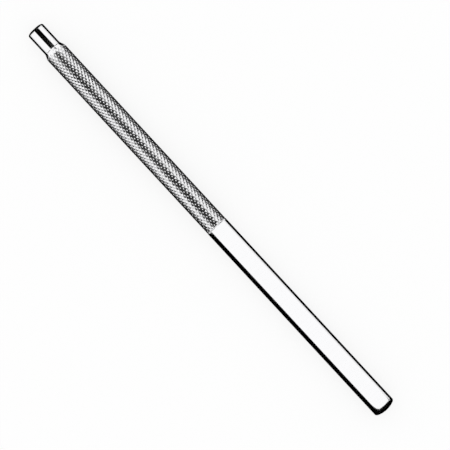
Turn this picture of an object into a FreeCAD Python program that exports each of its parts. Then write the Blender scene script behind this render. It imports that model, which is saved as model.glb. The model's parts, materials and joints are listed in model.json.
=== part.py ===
import FreeCAD, Part
import math
import os

from FreeCAD import Vector

# Mouth mirror handle, turned and knurled from one round steel bar.
# It lies along X on the plane Z = 0, with the middle of its length over the origin. From its
# +X end it has a thinner neck with a domed end, drilled and countersunk for the threaded stem
# of a mirror, then a conical shoulder, a grip with a diamond knurl, and a plain shank with a
# domed rear end. All of it is one piece of steel.

# Driving sizes, in millimetres and degrees. Lengths along the bar start at the mouth of the
# socket, at the +X end.
overall_length = 130.0
bar_diameter = 6.0
neck_diameter = 4.8
neck_length = 6.7
shoulder_length = 1.4
grip_length = 59.3

end_dome_radius = 6.4
neck_edge_radius = 0.6
rear_edge_radius = 0.8
neck_root_radius = 1.0

knurl_pitch = 1.4
knurl_teeth_round = 20
knurl_depth = 0.16
crest_relief = 0.02
runout_margin = 0.1

stem_drill_diameter = 2.05
stem_drill_depth = 8.0
drill_point_angle = 118.0
countersink_diameter = 2.8
countersink_angle = 90.0

# Places along the bar, and radii, that follow from the driving sizes.
bar_radius = bar_diameter / 2
neck_radius = neck_diameter / 2
mouth_radius = countersink_diameter / 2
x_mouth = overall_length / 2
x_rear = x_mouth - overall_length
x_neck_root = x_mouth - neck_length
x_shoulder = x_neck_root - shoulder_length
x_grip_end = x_shoulder - grip_length

# The knurl is a grid of rows along the bar and columns round it, half a tooth apart. The top of
# the bar lies midway between two columns.
# Its crests lie a hair under the surface of the bar, because the knurl is cut and not rolled.
crest_radius = bar_radius - crest_relief
root_radius = crest_radius - knurl_depth
row_step = knurl_pitch / 2
columns = 2 * knurl_teeth_round

# The grooves run out on the cone of the shoulder, where it has come down to their roots.
cone_slope = (bar_radius - neck_radius) / shoulder_length
runout_length = min((bar_radius - root_radius) / cone_slope, shoulder_length) + runout_margin
last_full_row = math.floor(grip_length / row_step)
last_runout_row = math.ceil((grip_length + runout_length) / row_step)

sewing_tolerance = 1e-5
along_bar = Vector(1, 0, 0)


def dome_sag(radius):
    """How far a dome falls from its apex at this distance from the bar's axis."""
    return end_dome_radius - math.sqrt(end_dome_radius**2 - radius**2)


def dome_arc(x_edge, edge_radius, outward):
    """A dome's outline, from its edge on the bar to its apex on the axis."""
    x_apex = x_edge + outward * dome_sag(edge_radius)
    half_way = edge_radius / 2
    x_half_way = x_apex - outward * dome_sag(half_way)
    return Part.Arc(
        Vector(x_edge, edge_radius, 0), Vector(x_half_way, half_way, 0), Vector(x_apex, 0, 0)
    ).toShape()


def line(start, end):
    return Part.LineSegment(Vector(*start, 0), Vector(*end, 0)).toShape()


def revolved(outline_edges):
    """The solid that an outline above the axis sweeps in a full turn about X."""
    return Part.Face(Part.Wire(outline_edges)).revolve(Vector(), along_bar, 360)


def circles_at(solid, x, radius):
    """The circular edges of a turned solid at one place along it."""
    return [
        edge
        for edge in solid.Edges
        if not edge.Degenerated
        and isinstance(edge.Curve, Part.Circle)
        and math.isclose(edge.Curve.Center.x, x, abs_tol=1e-6)
        and math.isclose(edge.Curve.Radius, radius, abs_tol=1e-6)
    ]


def knurl_x(row):
    return x_grip_end + row * row_step


def knurl_point(row, column):
    """A crest where row and column add up to an even number, and else a crossing of two grooves."""
    radius = crest_radius if (row + column) % 2 == 0 else root_radius
    angle = 2 * math.pi * (column - 0.5) / columns
    return Vector(knurl_x(row), radius * math.sin(angle), radius * math.cos(angle))


def knurl_ring(row):
    """The zigzag from crest to crossing right round the bar."""
    points = [knurl_point(row, column) for column in range(columns)]
    return Part.makePolygon([*points, points[0]])


def triangle(*corners):
    return Part.Face(Part.makePolygon([*corners, corners[0]]))


def knurl_facets(first_row, last_row):
    """The flanks of the diamond teeth. Each cell of the grid is parted by the groove that crosses it."""
    facets = []
    for row in range(first_row, last_row):
        for column in range(columns):
            near = knurl_point(row, column)
            near_next = knurl_point(row, column + 1)
            far = knurl_point(row + 1, column)
            far_next = knurl_point(row + 1, column + 1)
            if (row + column) % 2 == 0:
                facets.append(triangle(near, near_next, far))
                facets.append(triangle(near_next, far_next, far))
            else:
                facets.append(triangle(near, near_next, far_next))
                facets.append(triangle(near, far_next, far))
    return facets


def sewn_solid(faces):
    """One solid from the faces of its closed skin."""
    skin = Part.Compound(faces)
    skin.sewShape(sewing_tolerance)
    solid = Part.Solid(skin.Shells[0])
    if solid.Volume < 0:
        solid.reverse()
    return solid


def grip():
    """The knurled length that has teeth of full form."""
    ends = [Part.Face(Part.Wire(knurl_ring(row))) for row in (0, last_full_row)]
    return sewn_solid([*knurl_facets(0, last_full_row), *ends])


def runout_cutter():
    """A sleeve with the knurl inside it, which carries the grooves on over the shoulder."""
    x_start = knurl_x(last_full_row)
    x_end = knurl_x(last_runout_row)
    sleeve_radius = bar_diameter
    sleeve = Part.makeCylinder(sleeve_radius, x_end - x_start, Vector(x_start, 0, 0), along_bar)
    outside = [face for face in sleeve.Faces if isinstance(face.Surface, Part.Cylinder)]
    ends = []
    for row in (last_full_row, last_runout_row):
        rim = Part.Wire(Part.makeCircle(sleeve_radius, Vector(knurl_x(row), 0, 0), along_bar))
        ends.append(Part.makeFace([rim, knurl_ring(row)], "Part::FaceMakerBullseye"))
    return sewn_solid([*knurl_facets(last_full_row, last_runout_row), *outside, *ends])


def stem_socket():
    """The blind hole that the mirror's stem screws into, drilled to the core of its thread."""
    hole_radius = stem_drill_diameter / 2
    x_full = x_mouth - stem_drill_depth
    x_point = x_full - hole_radius / math.tan(math.radians(drill_point_angle / 2))
    flare = math.tan(math.radians(countersink_angle / 2))
    x_seat = x_mouth - (mouth_radius - hole_radius) / flare
    x_outside = x_mouth + end_dome_radius
    outside_radius = hole_radius + (x_outside - x_seat) * flare
    return revolved(
        [
            line((x_point, 0), (x_full, hole_radius)),
            line((x_full, hole_radius), (x_seat, hole_radius)),
            line((x_seat, hole_radius), (x_outside, outside_radius)),
            line((x_outside, outside_radius), (x_outside, 0)),
            line((x_outside, 0), (x_point, 0)),
        ]
    )


def nose():
    """The neck and the shoulder, with the last of the bar in front of the grip."""
    x_start = knurl_x(last_full_row)
    # The dome is placed so that the mouth of the socket, and not its lost apex, is at x_mouth.
    x_edge = x_mouth + dome_sag(mouth_radius) - dome_sag(neck_radius)
    dome = dome_arc(x_edge, neck_radius, 1)
    x_apex = dome.Vertexes[-1].X
    blank = revolved(
        [
            line((x_start, 0), (x_start, bar_radius)),
            line((x_start, bar_radius), (x_shoulder, bar_radius)),
            line((x_shoulder, bar_radius), (x_neck_root, neck_radius)),
            line((x_neck_root, neck_radius), (x_edge, neck_radius)),
            dome,
            line((x_apex, 0), (x_start, 0)),
        ]
    )
    blank = blank.makeFillet(neck_root_radius, circles_at(blank, x_neck_root, neck_radius))
    blank = blank.makeFillet(neck_edge_radius, circles_at(blank, x_edge, neck_radius))
    return blank.cut([runout_cutter(), stem_socket()])


def shank():
    """The plain rear of the bar, with its domed end."""
    x_edge = x_rear + dome_sag(bar_radius)
    bar = revolved(
        [
            line((x_grip_end, 0), (x_grip_end, bar_radius)),
            line((x_grip_end, bar_radius), (x_edge, bar_radius)),
            dome_arc(x_edge, bar_radius, -1),
            line((x_rear, 0), (x_grip_end, 0)),
        ]
    )
    return bar.makeFillet(rear_edge_radius, circles_at(bar, x_edge, bar_radius))


def handle():
    bar = grip().fuse([nose(), shank()]).Solids[0]
    bar.translate(Vector(0, 0, bar_radius))
    return bar


parts = {"handle": handle()}

os.makedirs("parts", exist_ok=True)
for name, shape in parts.items():
    box = shape.optimalBoundingBox()
    print(name, "valid", shape.isValid(), "volume", round(shape.Volume, 2), "mm3")
    print("x", round(box.XMin, 3), round(box.XMax, 3), "y", round(box.YMin, 3), round(box.YMax, 3),
          "z", round(box.ZMin, 3), round(box.ZMax, 3), "faces", len(shape.Faces))
    shape.exportStep(f"parts/{name}.step")
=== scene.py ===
import json
import math

import bpy
import numpy as np
from mathutils import Matrix, Vector


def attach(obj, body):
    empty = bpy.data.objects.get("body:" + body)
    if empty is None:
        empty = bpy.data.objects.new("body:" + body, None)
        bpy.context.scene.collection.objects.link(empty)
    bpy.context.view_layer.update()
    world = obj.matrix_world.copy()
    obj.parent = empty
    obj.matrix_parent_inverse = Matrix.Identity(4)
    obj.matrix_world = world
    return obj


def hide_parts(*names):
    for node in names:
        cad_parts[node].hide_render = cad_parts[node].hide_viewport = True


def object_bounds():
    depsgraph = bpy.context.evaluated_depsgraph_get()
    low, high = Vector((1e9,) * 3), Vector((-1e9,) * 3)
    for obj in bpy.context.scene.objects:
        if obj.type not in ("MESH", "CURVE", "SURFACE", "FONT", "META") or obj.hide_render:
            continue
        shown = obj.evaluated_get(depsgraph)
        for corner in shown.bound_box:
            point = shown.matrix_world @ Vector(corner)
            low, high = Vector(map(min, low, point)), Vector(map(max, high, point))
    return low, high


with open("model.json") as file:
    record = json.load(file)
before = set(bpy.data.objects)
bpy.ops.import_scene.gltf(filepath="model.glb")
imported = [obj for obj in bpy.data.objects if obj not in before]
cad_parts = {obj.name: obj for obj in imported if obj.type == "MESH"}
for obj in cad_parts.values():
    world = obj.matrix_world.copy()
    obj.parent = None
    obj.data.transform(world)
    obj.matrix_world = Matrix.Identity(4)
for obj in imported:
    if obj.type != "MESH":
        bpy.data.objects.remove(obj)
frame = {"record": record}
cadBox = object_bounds()
mounts = {mount["name"]: mount for mount in frame["record"]["mounts"]}
print("frame loaded")

mm = 0.001  # every size below is in millimetres, and the scene is in metres

# The turned bar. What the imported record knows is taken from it.
bar = {
    "length": (cadBox[1].x - cadBox[0].x) / mm,
    "radius": mounts["shank"]["dims"]["r_mm"],
    "axisHeight": mounts["shank"]["pos_m"][2] / mm,
    "neckRadius": 2.4,
    "neckLength": 6.7,
    "shoulderLength": 1.4,
    "shoulderCorner": 0.4,  # rounding where the cone starts
    "neckRoot": 1.0,
    "domeRadius": 6.4,
    "neckEdge": 0.6,
    "rearEdge": 0.8,
}

knurl = {
    "length": 59.3,
    "pitch": 1.4,  # from tooth to tooth along the bar
    "teethRound": 20,
    "crestRelief": 0.02,
    "depth": 0.16,
    "flatShare": 0.3,  # how much of a tooth is its flat top
    "crown": 0.008,  # how far a top's middle stands above its rim
    "endRamp": 0.3,  # the grooves come up to the plain shank over this length
}
rowStep = knurl["pitch"] / 2
halfToothCuts = (0, knurl["flatShare"], 0.5, 1 - knurl["flatShare"])  # mesh lines across half a tooth

socket = {
    "coreRadius": mounts["mirror_socket"]["dims"]["r_mm"],
    "threadRadius": 1.25,
    "threadPitch": 0.45,
    "threadLength": 6.3,
    "rootFlat": 0.0625,  # shares of the pitch in a 60 degree thread
    "flank": 0.289,
    "depth": 8.0,
    "mouthRadius": 1.4,
    "countersinkAngle": 90,
    "drillPointAngle": 118,
}

# How finely the skin is divided.
skin = {
    "firstRing": 0.25,  # radius of the ring next to the rear's apex
    "rearDomeSteps": 14,
    "neckDomeSteps": 10,
    "cornerSteps": 6,
    "shankSpacing": 2.0,
    "besideRounding": 0.12,  # spacing of the first ring of a straight length
    "afterKnurl": 0.05,  # least spacing between the knurl and the foot of the cone
    "neckRings": 5,
    "threadStepsPerTurn": 8,
    "pastThread": 0.1,  # the rings of the thread go on this far past it
    "plainBoreStart": 0.2,  # from there to the first ring of the plain bore
    "lastRing": 0.1,  # radius of the ring next to the drill point
    "sharpAngle": 25,  # a fold sharper than this, in degrees, shows as an edge
}

mouthX = bar["length"] / 2
rearX = -bar["length"] / 2
neckRootX = mouthX - bar["neckLength"]
shoulderX = neckRootX - bar["shoulderLength"]
gripEndX = shoulderX - knurl["length"]


def domeWithEdge(domeRadius, barRadius, edgeRadius, startRadius, steps):
    # A dome from startRadius out to a rounded edge on a straight bar, as pairs of depth behind
    # the apex and radius.
    reach = math.sqrt((domeRadius - edgeRadius) ** 2 - (barRadius - edgeRadius) ** 2)
    meeting = math.atan2(barRadius - edgeRadius, reach)
    start = math.asin(startRadius / domeRadius)
    domeAngles = np.linspace(start, meeting, steps + 1)
    edgeAngles = np.linspace(meeting, math.pi / 2, steps + 1)[1:]
    dome = [(domeRadius * (1 - math.cos(a)), domeRadius * math.sin(a)) for a in domeAngles]
    edge = [
        (
            domeRadius - reach - edgeRadius * math.cos(a),
            barRadius - edgeRadius + edgeRadius * math.sin(a),
        )
        for a in edgeAngles
    ]
    return np.array(dome + edge)


def roundedCorner(before, corner, after, radius):
    # The arc that rounds one corner of an outline made of straight lines.
    before, corner, after = (np.array(p, float) for p in (before, corner, after))
    intoCorner = (corner - before) / np.linalg.norm(corner - before)
    outOfCorner = (after - corner) / np.linalg.norm(after - corner)
    turn = math.acos(np.clip(intoCorner @ outOfCorner, -1, 1))
    tangent = radius * math.tan(turn / 2)
    first = corner - intoCorner * tangent
    last = corner + outOfCorner * tangent
    towardsCentre = (outOfCorner - intoCorner) / np.linalg.norm(outOfCorner - intoCorner)
    centre = corner + towardsCentre * radius / math.cos(turn / 2)
    across = (last - first) / np.linalg.norm(last - first)
    return [
        tuple(centre - towardsCentre * radius * math.cos(a) + across * radius * math.sin(a))
        for a in np.linspace(-turn / 2, turn / 2, skin["cornerSteps"] + 1)
    ]


def shoulderOutline():
    barEnd = (gripEndX, bar["radius"])
    coneTop = (shoulderX, bar["radius"])
    coneFoot = (neckRootX, bar["neckRadius"])
    neckEnd = (mouthX, bar["neckRadius"])
    return np.array(
        [barEnd]
        + roundedCorner(barEnd, coneTop, coneFoot, bar["shoulderCorner"])
        + roundedCorner(coneTop, coneFoot, neckEnd, bar["neckRoot"])
        + [neckEnd]
    )


def fromEven(value):
    # 0 at an even number and 1 at an odd one
    return np.abs((value + 1) % 2 - 1)


def knurlRadius(x, column):
    # Two sets of straight grooves cross at the odd points of the grid and leave a tooth at each
    # even one.
    row = (x - gripEndX) / rowStep
    flank = np.maximum(fromEven(row + column), fromEven(row - column))
    cut = np.clip((flank - knurl["flatShare"]) / (1 - knurl["flatShare"]), 0, 1)
    crown = knurl["crown"] * np.clip(flank / knurl["flatShare"], 0, 1)
    ramp = min(1, (x - gripEndX) / knurl["endRamp"])
    groove = (knurl["depth"] - knurl["crown"]) * cut
    return bar["radius"] - ramp * (knurl["crestRelief"] + crown + groove)


def socketRadius(x, angle):
    # The countersink and the thread: whichever has cut deeper.
    flare = math.tan(math.radians(socket["countersinkAngle"] / 2))
    countersink = socket["mouthRadius"] - (mouthX - x) * flare
    turns = (x / socket["threadPitch"] - angle / (2 * math.pi)) % 1
    fromRoot = np.abs(turns - 0.5)
    cut = np.clip((socket["rootFlat"] + socket["flank"] - fromRoot) / socket["flank"], 0, 1)
    runOut = np.clip((socket["threadLength"] - (mouthX - x)) / socket["threadPitch"], 0, 1)
    thread = socket["coreRadius"] + (socket["threadRadius"] - socket["coreRadius"]) * cut * runOut
    return np.maximum(countersink, thread)


# A ring of the skin is its place along the bar, its radius at each column and its zone. The rings
# run from the rear dome over the shank, grip and neck into the socket.
def shankRings(oneRound):
    dome = domeWithEdge(
        bar["domeRadius"], bar["radius"], bar["rearEdge"], skin["firstRing"], skin["rearDomeSteps"]
    )
    rings = [(rearX + depth, radius * oneRound, "shank") for depth, radius in dome]
    start = rings[-1][0] + skin["besideRounding"]
    end = gripEndX - skin["besideRounding"]
    steps = round((end - start) / skin["shankSpacing"])
    straight = [*np.linspace(start, end, steps + 1), gripEndX]
    return rings + [(x, bar["radius"] * oneRound, "shank") for x in straight]


def gripRings(column, outline):
    gripX = [gripEndX + knurl["endRamp"]]
    for row in range(math.ceil((neckRootX - gripEndX) / rowStep)):
        gripX += [gripEndX + (row + cut) * rowStep for cut in halfToothCuts]
    rings = []
    for x in sorted(x for x in gripX if gripEndX < x < neckRootX):
        turned = np.interp(x, outline[:, 0], outline[:, 1])
        rings.append((x, np.minimum(turned, knurlRadius(x, column)), "grip"))
    return rings


def neckRings(oneRound, outline, knurlEndX):
    dome = domeWithEdge(
        bar["domeRadius"], bar["neckRadius"], bar["neckEdge"], socket["mouthRadius"], skin["neckDomeSteps"]
    )
    dome[:, 0] = mouthX + dome[0, 0] - dome[:, 0]
    root = [(x, radius) for x, radius in outline if knurlEndX + skin["afterKnurl"] < x < mouthX]
    start = root[-1][0] + skin["besideRounding"]
    end = dome[-1, 0] - skin["besideRounding"]
    straight = [(x, bar["neckRadius"]) for x in np.linspace(start, end, skin["neckRings"])]
    return [(x, radius * oneRound, "neck") for x, radius in [*root, *straight, *dome[::-1]]]


def socketRings(oneRound, angle):
    boreEnd = mouthX - socket["depth"]
    threadEnd = mouthX - socket["threadLength"] - skin["pastThread"]
    step = socket["threadPitch"] / skin["threadStepsPerTurn"]
    threadX = np.arange(mouthX - step, threadEnd, -step)
    rings = [(x, socketRadius(x, angle), "socket") for x in threadX]
    for x in (threadEnd - skin["plainBoreStart"], boreEnd):
        rings.append((x, socket["coreRadius"] * oneRound, "socket"))
    pointSlope = math.tan(math.radians(socket["drillPointAngle"] / 2))
    pointX = boreEnd - socket["coreRadius"] / pointSlope
    rings.append((pointX + skin["lastRing"] / pointSlope, skin["lastRing"] * oneRound, "socket"))
    return rings, pointX


def facesPastRing(ring, zone, middleX, column):
    # The faces from one ring to the next. A corner of a face is ring * gridWidth + column, and
    # the last column of the grid lies on the first one.
    gridWidth = len(column) + 1
    a = ring * gridWidth + np.arange(len(column))
    b, c, d = a + 1, a + 1 + gridWidth, a + gridWidth
    if zone != "grip":
        return np.stack([a, b, c, d], 1)
    # The diagonals lie along the grooves.
    cellRow = math.floor((middleX - gripEndX) / rowStep)
    evenCell = ((cellRow + np.floor(column).astype(int)) % 2 == 0)[:, None]
    first = np.where(evenCell, np.stack([a, b, d], 1), np.stack([a, b, c], 1))
    second = np.where(evenCell, np.stack([b, c, d], 1), np.stack([a, c, d], 1))
    return np.concatenate([first, second])


bakeMap = {
    "strips": 3,
    "margin": 0.004,
}


def mapInStrips(mesh, ringX, ringRadius, cornerRing, cornerTurn, firstCorners):
    # A map for baking: the unrolled skin, cut across into strips that lie side by side.
    along = np.concatenate([[0], np.cumsum(np.hypot(np.diff(ringX), np.diff(ringRadius)))])
    along = np.append(along, [-ringRadius[0], along[-1] + ringRadius[-1]])[cornerRing]
    cornersOfFace = np.diff(firstCorners)
    middles = np.add.reduceat(along, firstCorners[:-1]) / cornersOfFace
    share = (middles - middles.min()) / (middles.max() - middles.min())
    stripOfFace = np.minimum((share * bakeMap["strips"]).astype(int), bakeMap["strips"] - 1)
    strip = np.repeat(stripOfFace, cornersOfFace)
    margin = bakeMap["margin"]
    places = np.empty((len(along), 2))
    for number in range(bakeMap["strips"]):
        inside = strip == number
        low, high = along[inside].min(), along[inside].max()
        places[inside, 0] = margin + (1 - 2 * margin) * (along[inside] - low) / (high - low)
    places[:, 1] = (strip + margin + (1 - 2 * margin) * (1 - cornerTurn)) / bakeMap["strips"]
    mesh.uv_layers.new(name="OFBake").uv.foreach_set("vector", places.ravel().astype(np.float32))


def buildHandle():
    halfTeeth = 2 * knurl["teethRound"]
    column = (np.arange(halfTeeth)[:, None] + halfToothCuts).ravel()
    columnCount = len(column)
    angle = (column + 0.5) * 2 * math.pi / halfTeeth
    oneRound = np.ones(columnCount)

    outline = shoulderOutline()
    rings = shankRings(oneRound) + gripRings(column, outline)
    rings += neckRings(oneRound, outline, rings[-1][0])
    innerRings, pointX = socketRings(oneRound, angle)
    rings += innerRings

    ringX = np.array([x for x, radii, zone in rings])
    radii = np.array([radii for x, radii, zone in rings])
    x = np.broadcast_to(ringX[:, None], radii.shape)
    y = radii * np.cos(angle)
    z = radii * np.sin(angle) + bar["axisHeight"]
    onRings = np.stack([x, y, z], axis=-1).reshape(-1, 3)
    apexes = [[rearX, 0, bar["axisHeight"]], [pointX, 0, bar["axisHeight"]]]
    vertices = np.vstack([onRings, apexes]) * mm

    faces = []
    faceZones = []
    for ring in range(len(rings) - 1):
        zone = rings[ring + 1][2]
        middleX = (ringX[ring] + ringX[ring + 1]) / 2
        newFaces = facesPastRing(ring, zone, middleX, column)
        faces += list(newFaces)
        faceZones += [zone] * len(newFaces)
    # The two apexes count as rings past the last one.
    gridWidth = columnCount + 1
    firstRing = np.arange(columnCount)
    lastRing = firstRing + (len(rings) - 1) * gridWidth
    rearApex = lastRing + gridWidth
    pointApex = rearApex + gridWidth
    faces += list(np.stack([rearApex, firstRing + 1, firstRing], 1))
    faceZones += ["shank"] * columnCount
    faces += list(np.stack([pointApex, lastRing, lastRing + 1], 1))
    faceZones += ["socket"] * columnCount

    cornerRing, cornerColumn = np.divmod(np.concatenate(faces), gridWidth)
    onApex = cornerRing >= len(rings)
    ringVertex = cornerRing * columnCount + cornerColumn % columnCount
    vertexOf = np.where(onApex, len(onRings) + cornerRing - len(rings), ringVertex)
    firstCorners = np.cumsum([0] + [len(face) for face in faces])
    vertexLists = [vertexOf[first:end].tolist() for first, end in zip(firstCorners, firstCorners[1:])]

    mesh = bpy.data.meshes.new("knurledHandle")
    mesh.from_pydata(vertices.tolist(), [], vertexLists)
    cornerTurn = (cornerColumn + 0.5 * onApex) / columnCount
    mapInStrips(mesh, ringX, radii.mean(axis=1), cornerRing, cornerTurn, firstCorners)
    mesh.shade_smooth()
    mesh.set_sharp_from_angle(angle=math.radians(skin["sharpAngle"]))
    piece = bpy.data.objects.new("knurledHandle", mesh)
    bpy.context.scene.collection.objects.link(piece)
    return piece, faceZones


def newGroup(name, inputs, outputs):
    group = bpy.data.node_groups.new(name, "ShaderNodeTree")
    for socketName, kind, value in inputs:
        new = group.interface.new_socket(
            name=socketName, in_out="INPUT", socket_type="NodeSocket" + kind
        )
        if kind == "Float":
            new.default_value = value
    for socketName in outputs:
        group.interface.new_socket(
            name=socketName, in_out="OUTPUT", socket_type="NodeSocketFloat"
        )
    return group, group.nodes.new("NodeGroupInput"), group.nodes.new("NodeGroupOutput")


def feed(tree, slot, value):
    # What goes into a socket is a number or another node's output.
    if isinstance(value, (int, float)):
        slot.default_value = value
    else:
        tree.links.new(value, slot)


def mathNode(tree, operation, *values):
    node = tree.nodes.new("ShaderNodeMath")
    node.operation = operation
    for slot, value in zip(node.inputs, values):
        feed(tree, slot, value)
    return node.outputs[0]


def rangeNode(tree, value, low, high, newLow=0, newHigh=1):
    node = tree.nodes.new("ShaderNodeMapRange")
    node.interpolation_type = "SMOOTHSTEP"
    feed(tree, node.inputs["Value"], value)
    feed(tree, node.inputs["From Min"], low)
    feed(tree, node.inputs["From Max"], high)
    feed(tree, node.inputs["To Min"], newLow)
    feed(tree, node.inputs["To Max"], newHigh)
    return node.outputs[0]


def cloudNode(tree, place, scale, detail, distortion=0):
    # Soft noise over places in millimetres.
    node = tree.nodes.new("ShaderNodeTexNoise")
    node.inputs["Detail"].default_value = detail
    node.inputs["Distortion"].default_value = distortion
    tree.links.new(place, node.inputs["Vector"])
    feed(tree, node.inputs["Scale"], scale)
    return node.outputs[0]


def radiusFromAxis(tree, place):
    # The place along the bar, and how far from its axis, in millimetres.
    parts = tree.nodes.new("ShaderNodeSeparateXYZ")
    tree.links.new(place, parts.inputs[0])
    up = mathNode(tree, "SUBTRACT", parts.outputs["Z"], bar["axisHeight"])
    across = mathNode(tree, "MULTIPLY", parts.outputs["Y"], parts.outputs["Y"])
    radius = mathNode(tree, "SQRT", mathNode(tree, "MULTIPLY_ADD", up, up, across))
    return parts.outputs["X"], radius


def buildTurningMarks():
    # Fine rings left by the lathe and the polishing wheel. They follow the outline, so they also
    # run over domes.
    coarseFactor = 6
    group, inside, outside = newGroup(
        "turningMarks",
        [("Place", "Vector", None), ("Pitch", "Float", 0.1), ("Coarse Share", "Float", 0.4)],
        ["Height", "Tone"],
    )
    x, radius = radiusFromAxis(group, inside.outputs["Place"])
    alongOutline = mathNode(group, "SUBTRACT", x, radius)
    marks = []
    for factor in (1, coarseFactor):
        noise = group.nodes.new("ShaderNodeTexNoise")
        noise.noise_dimensions = "1D"
        noise.inputs["Detail"].default_value = 2
        noise.inputs["Scale"].default_value = 1
        pitch = mathNode(group, "MULTIPLY", inside.outputs["Pitch"], factor)
        group.links.new(mathNode(group, "DIVIDE", alongOutline, pitch), noise.inputs["W"])
        marks.append(noise.outputs[0])
    coarse = mathNode(group, "MULTIPLY", marks[1], inside.outputs["Coarse Share"])
    group.links.new(mathNode(group, "ADD", marks[0], coarse), outside.inputs["Height"])
    group.links.new(marks[1], outside.inputs["Tone"])
    return group


scratchPattern = {
    "tilts": (0.5, 2.1),  # the directions of two sets of scratches, in radians
    "stretch": 0.25,  # scale along a scratch, which makes the noise four times as long
    "patchScale": 0.35,
    "patchEdge": 0.15,
}


def buildHandlingScratches():
    # Hairline scratches from trays and the steriliser: thin contour lines of a stretched noise,
    # in patches.
    group, inside, outside = newGroup(
        "handlingScratches",
        [
            ("Place", "Vector", None),
            ("Spacing", "Float", 3),
            ("Width", "Float", 0.02),
            ("Cover", "Float", 0.4),
        ],
        ["Mask"],
    )
    sets = []
    for tilt in scratchPattern["tilts"]:
        turned = group.nodes.new("ShaderNodeMapping")
        turned.inputs["Rotation"].default_value = (tilt, 0, tilt)
        turned.inputs["Scale"].default_value = (scratchPattern["stretch"], 1, 1)
        group.links.new(inside.outputs["Place"], turned.inputs["Vector"])
        spaced = group.nodes.new("ShaderNodeVectorMath")
        spaced.operation = "DIVIDE"
        spacing = group.nodes.new("ShaderNodeCombineXYZ")
        for axis in spacing.inputs:
            group.links.new(inside.outputs["Spacing"], axis)
        group.links.new(turned.outputs[0], spaced.inputs[0])
        group.links.new(spacing.outputs[0], spaced.inputs[1])
        cloud = cloudNode(group, spaced.outputs[0], 1, detail=1)
        offLine = mathNode(group, "ABSOLUTE", mathNode(group, "SUBTRACT", cloud, 0.5))
        sets.append(rangeNode(group, offLine, 0, inside.outputs["Width"], 1, 0))
    lines = mathNode(group, "MAXIMUM", *sets)
    patches = cloudNode(group, inside.outputs["Place"], scratchPattern["patchScale"], detail=3)
    bare = mathNode(group, "SUBTRACT", 1, inside.outputs["Cover"])
    full = mathNode(group, "ADD", bare, scratchPattern["patchEdge"])
    patch = rangeNode(group, patches, bare, full)
    group.links.new(mathNode(group, "MULTIPLY", lines, patch), outside.inputs["Mask"])
    return group


def buildRecessShadeAndResidue():
    # Painted shade in the grooves, partly dark residue that stays in them. It goes by the distance from
    # the axis, darker the deeper, and it lies unevenly.
    patchScale = 1.1
    fadeLength = 0.25  # past the end of the grooves
    group, inside, outside = newGroup(
        "recessShadeAndResidue",
        [
            ("Place", "Vector", None),
            ("Clean Radius", "Float", 3),
            ("Deep Radius", "Float", 2.8),
            ("Groove End", "Float", 100),
            ("Unevenness", "Float", 0.4),
        ],
        ["Mask"],
    )
    x, radius = radiusFromAxis(group, inside.outputs["Place"])
    depth = rangeNode(group, radius, inside.outputs["Clean Radius"], inside.outputs["Deep Radius"])
    pastEnd = mathNode(group, "SUBTRACT", x, inside.outputs["Groove End"])
    depth = mathNode(group, "MULTIPLY", depth, rangeNode(group, pastEnd, 0, fadeLength, 1, 0))
    patches = cloudNode(group, inside.outputs["Place"], patchScale, detail=4)
    thin = mathNode(group, "MULTIPLY", patches, inside.outputs["Unevenness"])
    left = mathNode(group, "SUBTRACT", 1, thin)
    group.links.new(mathNode(group, "MULTIPLY", depth, left), outside.inputs["Mask"])
    return group


def buildFingerFilm():
    # The cloudy film that hands leave on bright steel.
    clear, clouded = 0.42, 0.66
    group, inside, outside = newGroup(
        "fingerFilm", [("Place", "Vector", None), ("Size", "Float", 6)], ["Mask"]
    )
    scale = mathNode(group, "DIVIDE", 1, inside.outputs["Size"])
    cloud = cloudNode(group, inside.outputs["Place"], scale, detail=5, distortion=0.6)
    group.links.new(rangeNode(group, cloud, clear, clouded), outside.inputs["Mask"])
    return group


turningMarks = buildTurningMarks()
handlingScratches = buildHandlingScratches()
recessShadeAndResidue = buildRecessShadeAndResidue()
fingerFilm = buildFingerFilm()
print("finishes built")

steel = {
    "colour": (0.86, 0.86, 0.87),
    "dullShare": 0.9,  # how bright the duller turning marks are
    # the colour of the painted shade in grooves and threads, partly residue
    "shadeAndResidueColour": (0.05, 0.048, 0.045),
    "shadeAndResidueRoughness": 0.2,
    "markDistance": 0.00015,  # depth of the turning marks
    "scratchDistance": 0.0003,
}

crestRadius = bar["radius"] - knurl["crestRelief"]

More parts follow.
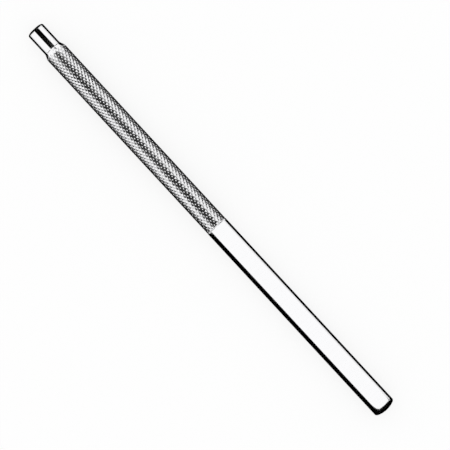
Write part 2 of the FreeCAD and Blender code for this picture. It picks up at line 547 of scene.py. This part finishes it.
# The steel of each zone. A group's values are under its name, and what its masks do is beside it.
zoneSteel = {
    "shank": {
        "name": "polishedSteel",
        "roughness": 0.06,
        "turningMarks": {"Pitch": 0.09, "Coarse Share": 0.5},
        "markTone": 0.35,
        "handlingScratches": {"Spacing": 4, "Width": 0.012, "Cover": 0.45},
        "scratchRoughness": 0.12,
        "fingerFilm": {"Size": 7},
        "filmRoughness": 0.05,
    },
    "grip": {
        "name": "knurledSteel",
        "roughness": 0.07,
        "turningMarks": {"Pitch": 0.07, "Coarse Share": 0.3},
        "markTone": 0.3,
        "handlingScratches": {"Spacing": 2.5, "Width": 0.015, "Cover": 0.4},
        "scratchRoughness": 0.15,
        "fingerFilm": {"Size": 5},
        "filmRoughness": 0.06,
        # painted shade in the grooves between the teeth, partly residue
        "recessShadeAndResidue": {
            "Clean Radius": crestRadius - 0.13,
            "Deep Radius": crestRadius - 0.165,
            "Groove End": shoulderX,
            "Unevenness": 0.3,
        },
        "shadeAndResidueStrength": 0.8,
    },
    "neck": {
        "name": "neckSteel",
        "roughness": 0.06,
        "turningMarks": {"Pitch": 0.13, "Coarse Share": 0.6},
        "markTone": 0.5,
        "handlingScratches": {"Spacing": 3, "Width": 0.012, "Cover": 0.4},
        "scratchRoughness": 0.12,
        "fingerFilm": {"Size": 5},
        "filmRoughness": 0.05,
    },
    "socket": {
        "name": "socketSteel",
        "roughness": 0.28,
        "turningMarks": {"Pitch": 0.1, "Coarse Share": 0.3},
        "markTone": 0.6,
        "handlingScratches": {"Spacing": 2, "Width": 0.02, "Cover": 0.3},
        "scratchRoughness": 0.1,
        "fingerFilm": {"Size": 3},
        "filmRoughness": 0.08,
        # painted shade in the thread's grooves, partly residue
        "recessShadeAndResidue": {
            "Clean Radius": socket["coreRadius"],
            "Deep Radius": socket["threadRadius"],
            "Groove End": mouthX,
            "Unevenness": 0.5,
        },
        "shadeAndResidueStrength": 0.8,
    },
}


def mixColours(tree, share, first, second):
    # A colour is three numbers or another node's output.
    node = tree.nodes.new("ShaderNodeMix")
    node.data_type = "RGBA"
    tree.links.new(share, node.inputs[0])
    for slot, colour in zip((node.inputs[6], node.inputs[7]), (first, second)):
        if isinstance(colour, tuple):
            slot.default_value = (*colour, 1)
        else:
            tree.links.new(colour, slot)
    return node.outputs[2]


def bumpNode(tree, height, distance):
    node = tree.nodes.new("ShaderNodeBump")
    node.inputs["Distance"].default_value = distance * mm
    node.inputs["Strength"].default_value = 1
    tree.links.new(height, node.inputs["Height"])
    return node


def steelMaterial(finish):
    material = bpy.data.materials.new(finish["name"])
    material.use_nodes = True
    tree = material.node_tree
    nodes, links = tree.nodes, tree.links
    shader = nodes["Principled BSDF"]
    shader.inputs["Metallic"].default_value = 1
    coordinates = nodes.new("ShaderNodeTexCoord")
    inMillimetres = nodes.new("ShaderNodeVectorMath")
    inMillimetres.operation = "SCALE"
    inMillimetres.inputs["Scale"].default_value = 1 / mm
    links.new(coordinates.outputs["Object"], inMillimetres.inputs[0])

    def placed(group):
        node = nodes.new("ShaderNodeGroup")
        node.node_tree = group
        links.new(inMillimetres.outputs[0], node.inputs["Place"])
        for socketName, value in finish[group.name].items():
            node.inputs[socketName].default_value = value
        return node.outputs

    marks = placed(turningMarks)
    scratchMask = placed(handlingScratches)["Mask"]
    filmMask = placed(fingerFilm)["Mask"]

    dull = tuple(c * steel["dullShare"] for c in steel["colour"])
    tone = mathNode(tree, "MULTIPLY", marks["Tone"], finish["markTone"])
    colour = mixColours(tree, tone, steel["colour"], dull)
    rough = mathNode(tree, "MULTIPLY_ADD", filmMask, finish["filmRoughness"], finish["roughness"])
    rough = mathNode(tree, "MULTIPLY_ADD", scratchMask, finish["scratchRoughness"], rough)
    # Painted shade: the base colour goes dark where the surface lies deep in grooves, partly as residue.
    if "recessShadeAndResidue" in finish:
        shadeAndResidueMask = placed(recessShadeAndResidue)["Mask"]
        mask = mathNode(tree, "MULTIPLY", shadeAndResidueMask, finish["shadeAndResidueStrength"])
        colour = mixColours(tree, mask, colour, steel["shadeAndResidueColour"])
        rough = mathNode(tree, "MULTIPLY_ADD", mask, steel["shadeAndResidueRoughness"], rough)
    links.new(colour, shader.inputs["Base Color"])
    links.new(rough, shader.inputs["Roughness"])

    markBump = bumpNode(tree, marks["Height"], steel["markDistance"])
    scratchBump = bumpNode(tree, scratchMask, steel["scratchDistance"])
    scratchBump.invert = True
    links.new(markBump.outputs[0], scratchBump.inputs["Normal"])
    links.new(scratchBump.outputs[0], shader.inputs["Normal"])
    return material


handle, zones = buildHandle()
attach(handle, "root")
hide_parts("handle")
for finish in zoneSteel.values():
    handle.data.materials.append(steelMaterial(finish))
zoneNames = list(zoneSteel)
handle.data.polygons.foreach_set("material_index", [zoneNames.index(zone) for zone in zones])
print("handle built:", len(handle.data.polygons), "faces")

studio = {
    "floorSize": 4000,
    "paper": 0.95,
    "surroundings": 1.0,  # plain light from all round
    "floorWhite": 0.82,  # share of plain white, and not lit paper, in the floor that is seen
    "white": 1.14,  # strength of what the steel sees as white
    "hoopInside": 0.22,  # the white hoop stands across the bar, and its edges are soft
    "hoopOutside": 0.34,
    "endsInside": 0.56,  # both ends of the room are light too
    "endsOutside": 0.62,
    "endsLight": 0.8,
    "dusk": 0.03,  # strength of the dark bands between the hoop and the ends
    "duskFrom": 0.74,  # how high the dark band reaches, as the rise of a view of length 1
    "duskTo": 0.8,
    "duskTilt": 0.15,  # it stands higher at the neck's end
    "duskSideTilt": 0.13,
}


def addMesh(name, corners, faces, material):
    mesh = bpy.data.meshes.new(name)
    mesh.from_pydata([Vector(corner) * mm for corner in corners], [], faces)
    mesh.materials.append(material)
    piece = bpy.data.objects.new(name, mesh)
    bpy.context.scene.collection.objects.link(piece)
    return piece


def levelCorners(x0, x1, y0, y1, z):
    return [(x0, y0, z), (x1, y0, z), (x1, y1, z), (x0, y1, z)]


def paperMaterial():
    # The camera, gloss and glass see it mostly as plain white, and the rest as paper that is lit.
    material = bpy.data.materials.new("paperFloor")
    material.use_nodes = True
    tree = material.node_tree
    nodes, links = tree.nodes, tree.links
    nodes.clear()
    paper = nodes.new("ShaderNodeBsdfDiffuse")
    paper.inputs["Color"].default_value = (studio["paper"], studio["paper"], studio["paper"], 1)
    white = nodes.new("ShaderNodeEmission")
    white.inputs["Color"].default_value = (1, 1, 1, 1)
    white.inputs["Strength"].default_value = 1
    path = nodes.new("ShaderNodeLightPath").outputs
    seen = mathNode(tree, "MAXIMUM", path["Is Camera Ray"], path["Is Glossy Ray"])
    seen = mathNode(tree, "MAXIMUM", seen, path["Is Transmission Ray"])
    mix = nodes.new("ShaderNodeMixShader")
    links.new(mathNode(tree, "MULTIPLY", seen, studio["floorWhite"]), mix.inputs[0])
    links.new(paper.outputs[0], mix.inputs[1])
    links.new(white.outputs[0], mix.inputs[2])
    output = nodes.new("ShaderNodeOutputMaterial")
    links.new(mix.outputs[0], output.inputs["Surface"])
    return material


def buildFloor():
    half = studio["floorSize"] / 2
    corners = levelCorners(-half, half, -half, half, 0)
    floor = addMesh("floor", corners, [(0, 1, 2, 3)], paperMaterial())


def buildWorld():
    world = bpy.data.worlds.new("whiteRoom")
    bpy.context.scene.world = world
    world.use_nodes = True
    tree = world.node_tree
    nodes, links = tree.nodes, tree.links
    direction = nodes.new("ShaderNodeTexCoord")
    view = nodes.new("ShaderNodeSeparateXYZ")
    links.new(direction.outputs["Generated"], view.inputs[0])
    alongBar = mathNode(tree, "ABSOLUTE", view.outputs["X"])
    hoop = rangeNode(tree, alongBar, studio["hoopInside"], studio["hoopOutside"], 1, 0)
    ends = rangeNode(
        tree, alongBar, studio["endsInside"], studio["endsOutside"], 0, studio["endsLight"]
    )
    light = mathNode(tree, "MAXIMUM", hoop, ends)
    rise = mathNode(tree, "MULTIPLY_ADD", view.outputs["X"], -studio["duskTilt"], view.outputs["Z"])
    rise = mathNode(tree, "MULTIPLY_ADD", view.outputs["Y"], studio["duskSideTilt"], rise)
    above = rangeNode(tree, rise, studio["duskFrom"], studio["duskTo"])
    white = mathNode(tree, "MAXIMUM", light, above)
    inSteel = rangeNode(tree, white, 0, 1, studio["dusk"], studio["white"])
    path = nodes.new("ShaderNodeLightPath")
    strength = nodes.new("ShaderNodeMix")
    strength.data_type = "FLOAT"
    strength.inputs[2].default_value = studio["surroundings"]
    links.new(path.outputs["Is Glossy Ray"], strength.inputs[0])
    links.new(inSteel, strength.inputs[3])
    links.new(strength.outputs[0], nodes["Background"].inputs["Strength"])
    nodes["Background"].inputs["Color"].default_value = (1, 1, 1, 1)


def cardMaterial(name, values):
    material = bpy.data.materials.new(name)
    material.use_nodes = True
    shader = material.node_tree.nodes["Principled BSDF"]
    shader.inputs["Base Color"].default_value = (0, 0, 0, 1)
    shader.inputs["Specular IOR Level"].default_value = 0
    for socketName, value in values.items():
        shader.inputs[socketName].default_value = value
    return material


cardBlack = cardMaterial("blackCard", {"Roughness": 1})
cardWhite = cardMaterial(
    "whiteCard", {"Emission Color": (1, 1, 1, 1), "Emission Strength": studio["white"]}
)

# The heights of the level cards, and how many corners a round one has.
cards = {
    "onFloor": 0.1,
    "rearSky": 9,
    "neckEndSky": 11,
    "neckSky": 30,
    "roundCorners": 48,
}


def buildCard(name, corners, faces=None, material=cardBlack):
    # A card that shows only in the steel.
    card = addMesh(name, corners, faces or [tuple(range(len(corners)))], material)
    card.visible_camera = False
    card.visible_diffuse = False
    card.visible_shadow = False
    card.visible_transmission = False


def levelCard(name, x0, x1, y0, y1, height=cards["onFloor"]):
    buildCard(name, levelCorners(x0, x1, y0, y1, height))


def standingCard(name, x0, x1, y, top):
    buildCard(name, [(x0, y, 0), (x1, y, 0), (x1, y, top), (x0, y, top)])


def ringCard(name, x, inner, across, up, material=cardBlack):
    # A card with a hole round the bar's line, facing along it. Its foot ends at the floor.
    count = cards["roundCorners"]
    corners = []
    for outY, outZ in ((inner, inner), (across, up)):
        for turn in np.linspace(0, 2 * math.pi, count, endpoint=False):
            height = bar["axisHeight"] + outZ * math.sin(turn)
            corners.append((x, outY * math.cos(turn), max(0, height)))
    afters = [(i + 1) % count for i in range(count)]
    faces = [(i, after, after + count, i + count) for i, after in enumerate(afters)]
    buildCard(name, corners, faces, material)


def buildShankCards():
    # The thin dark line along one side of the shank, and the thick one along the other.
    levelCard("shankLine", -80, gripEndX, -15.5, -1)
    levelCard("shankBandFloor", -90, gripEndX, 1, 60)
    standingCard("shankBandWall", -90, gripEndX, 60, 15)


def buildGripCards():
    # The dark edges of the knurl come from the floor below it and two rails beside it.
    levelCard("gripNearFloor", gripEndX, shoulderX, -6.9, 9.5)
    standingCard("gripLeftRail", gripEndX, shoulderX, 3.1, 4.06)
    standingCard("gripRightRail", gripEndX, shoulderX, -3.1, 4.06)
    # Some flanks of the teeth see the floor far away on both sides.
    levelCard("gripRightFloor", -90, 50, 60, 400)
    levelCard("gripLeftFloor", 0, 50, -400, -60)


def buildNeckCards():
    # The lines along the neck's edges, the stripe on it with its end on the dome, and what the
    # dome sees in front of it.
    levelCard("neckRightFloor", 76, 400, 60, 400)
    levelCard("neckLeftFloor", 76, 400, -400, -60)
    levelCard("neckLines", shoulderX, 80, -17, 17)
    levelCard("neckStripe", 58.6, 68, -22.5, 9, cards["neckSky"])
    levelCard("neckEndStripe", 64.4, 70, -5.6, 2.3, cards["neckEndSky"])
    ringCard("frontPlate", 65.6, 1.2, 4, 4)
    ringCard("frontRing", 75, 17, 31.5, 31.5, cardWhite)


def buildRearCards():
    # The dark crescent on the rear's dome. Two cards share their far edge.
    ringCard("behindPlate", -65.6, 1.4, 16, 7)
    farEdge = [(-70, -30), (-92, -250), (-73, -250), (-64.6, -26), (-63.8, -5)]
    floorEdge = [(-63.8, 5), (-64.6, 40), (-71, 40)]
    skyEdge = [(-63.7, 5), (-63.45, 7.4), (-63.2, 12.3), (-62.7, 18.2), (-62, 30), (-67, 30)]
    buildCard("behindFloor", [(x, y, cards["onFloor"]) for x, y in farEdge + floorEdge])
    buildCard("behindSky", [(x, y, cards["rearSky"]) for x, y in farEdge + skyEdge])


camera = {
    "lens": 400,
    "sensor": 36,
    "imageSize": 450,
    "scale": 0.2506,  # millimetres to a pixel of the photograph
    "slope": 47.24,  # degrees below the horizontal, from the neck to the rear
    "middle": (210.08, 218.91),  # the middle of the handle's length, in pixels of the photograph
}


def buildCamera():
    slope = math.radians(camera["slope"])
    right = Vector((-math.cos(slope), -math.sin(slope), 0))
    up = Vector((math.sin(slope), -math.cos(slope), 0))
    back = right.cross(up)
    imageMiddle = (camera["imageSize"] - 1) / 2
    aside = (imageMiddle - camera["middle"][0]) * camera["scale"]
    above = (camera["middle"][1] - imageMiddle) * camera["scale"]
    away = camera["imageSize"] * camera["scale"] * camera["lens"] / camera["sensor"]
    place = right * aside + up * above + back * (away + bar["axisHeight"])
    data = bpy.data.cameras.new("photoCamera")
    data.lens = camera["lens"]
    data.sensor_width = camera["sensor"]
    photoCamera = bpy.data.objects.new("photoCamera", data)
    turned = Matrix((right, up, back)).transposed().to_4x4()
    photoCamera.matrix_world = Matrix.Translation(place * mm) @ turned
    bpy.context.scene.collection.objects.link(photoCamera)
    bpy.context.scene.camera = photoCamera


buildFloor()
buildWorld()
buildShankCards()
buildGripCards()
buildNeckCards()
buildRearCards()
buildCamera()
bpy.context.scene.view_settings.view_transform = "Standard"
print("stage built")
